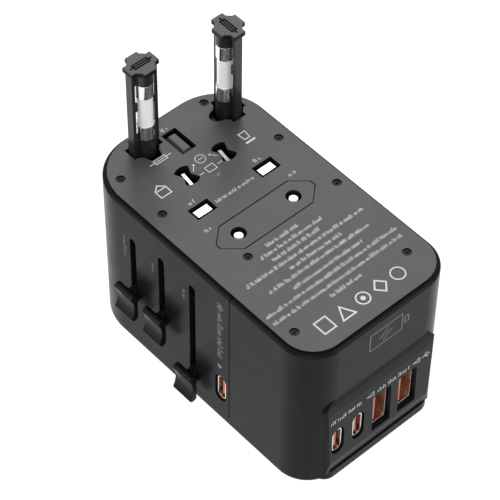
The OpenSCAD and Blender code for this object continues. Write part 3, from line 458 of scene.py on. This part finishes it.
# USB end: u runs along +Y, v up the wall
end = Marks((USB_WALL_X, 0, 0), (0, 1, 0), (0, 0, 1))
end.line([(-4.8, 44.0), (6.4, 44.0), (6.4, 50.2), (-4.8, 50.2)], 0.22, closed=True)
end.line([(7.3, 45.9), (8.6, 45.9), (8.6, 48.3), (7.3, 48.3)], 0.22, closed=True)
end.line([(1.6, 49.2), (-1.6, 46.6), (2.9, 47.4), (-0.3, 44.9)], 0.22)
end.finish("end_print", DARK_PRINT)


def end_surface(height):
    """Point of the port panel in the middle of its width, at a height in millimetres."""
    found, place, normal, face_index = NODES["charger_shell"].ray_cast(
        Vector((0.06, 0.0, height * MM)), Vector((-1, 0, 0)))
    return place


low_point, high_point = end_surface(24.6), end_surface(26.6)
row = Marks(low_point, (0, 1, 0), (high_point - low_point).normalized(), thick=0.04)
row.greek((-17.6, 0.9), (-5.8, 0.9), 1.5, rng, (3, 5))
row.greek((-1.1, 0.9), (10.6, 0.9), 1.5, rng, (3, 5))
for u in (-3.9, 12.6):
    row.line([(u - 1.2, 0.9), (u + 1.2, 1.7), (u + 1.2, 0.1)], 0.22, closed=True)
row.line([(14.6, 0.9), (17.4, 0.9)], 0.22)
row.line([(15.3, 0.9), (16.0, 1.8), (16.7, 1.8)], 0.22)
row.line([(15.8, 0.9), (16.4, 0.1), (17.0, 0.1)], 0.22)
row.finish("port_print", PRINT)


# ---- Studio ----

scene = bpy.context.scene
scene.view_settings.view_transform = "Standard"

FLOOR_GAP = 0.05 * MM
bpy.ops.mesh.primitive_plane_add(size=8, location=(0, 0, cad_low.z - FLOOR_GAP))
floor = bpy.context.object
floor.name = "floor"
floor_mat, floor_tree, floor_shader = new_material("floor_white", (0.3, 0.3, 0.3), 0.9)
floor_shader.inputs["Specular IOR Level"].default_value = 0
floor_shader.inputs["Emission Color"].default_value = (1, 1, 1, 1)
floor_shader.inputs["Emission Strength"].default_value = 0.92
floor.data.materials.append(floor_mat)
# The white ground shows in the glossy walls but lends no diffuse light, so the dark housing keeps its depth
floor.visible_diffuse = False

world = bpy.data.worlds.new("studio")
scene.world = world
world.use_nodes = True
world.node_tree.nodes["Background"].inputs["Color"].default_value = (0.95, 0.97, 1, 1)
world.node_tree.nodes["Background"].inputs["Strength"].default_value = 0.4


def softbox(name, place, aim, size, power):
    light = bpy.data.lights.new(name, "AREA")
    light.shape = "RECTANGLE"
    light.size, light.size_y = size
    light.energy = power
    obj = bpy.data.objects.new(name, light)
    scene.collection.objects.link(obj)
    obj.location = place
    obj.rotation_euler = (Vector(aim) - Vector(place)).to_track_quat("-Z", "Y").to_euler()
    return obj


# The main softbox stands where the plug face mirrors it, and the fill lights the fronts of the fuse carriers
softbox("main", (-0.45, 0.42, 0.75), (0, 0, 0.05), (0.9, 0.9), 3.8)
softbox("fill", (0.5, -0.6, 0.5), (0, 0, 0.07), (0.5, 0.5), 3)
# These two stand where the rounded shoulders of the slider side and of the USB end mirror them
softbox("slider_shoulder", (-0.48, -0.76, 0.44), (0, 0, 0.05), (0.5, 0.5), 4)
softbox("usb_shoulder", (0.76, 0.44, 0.48), (0.04, 0, 0.05), (0.5, 0.5), 4)

# Camera: looks down on the USB corner, 47 degrees round from the slider side
target = Vector((6.74, -11.14, 55.0)) * MM
azimuth, elevation, roll = (math.radians(d) for d in (47.47, 49.85, 0.766))
distance = 577.2 * MM
back = Vector((math.sin(azimuth) * math.cos(elevation), -math.cos(azimuth) * math.cos(elevation), math.sin(elevation)))
right = Vector((math.cos(azimuth), math.sin(azimuth), 0))
up = back.cross(right)
right, up = right * math.cos(roll) + up * math.sin(roll), up * math.cos(roll) - right * math.sin(roll)
camera_data = bpy.data.cameras.new("camera")
camera_data.lens = 163.8
camera_data.sensor_width = 36
camera = bpy.data.objects.new("camera", camera_data)
scene.collection.objects.link(camera)
camera.matrix_world = Matrix.Translation(target + back * distance) @ Matrix((right, up, back)).transposed().to_4x4()
scene.camera = camera
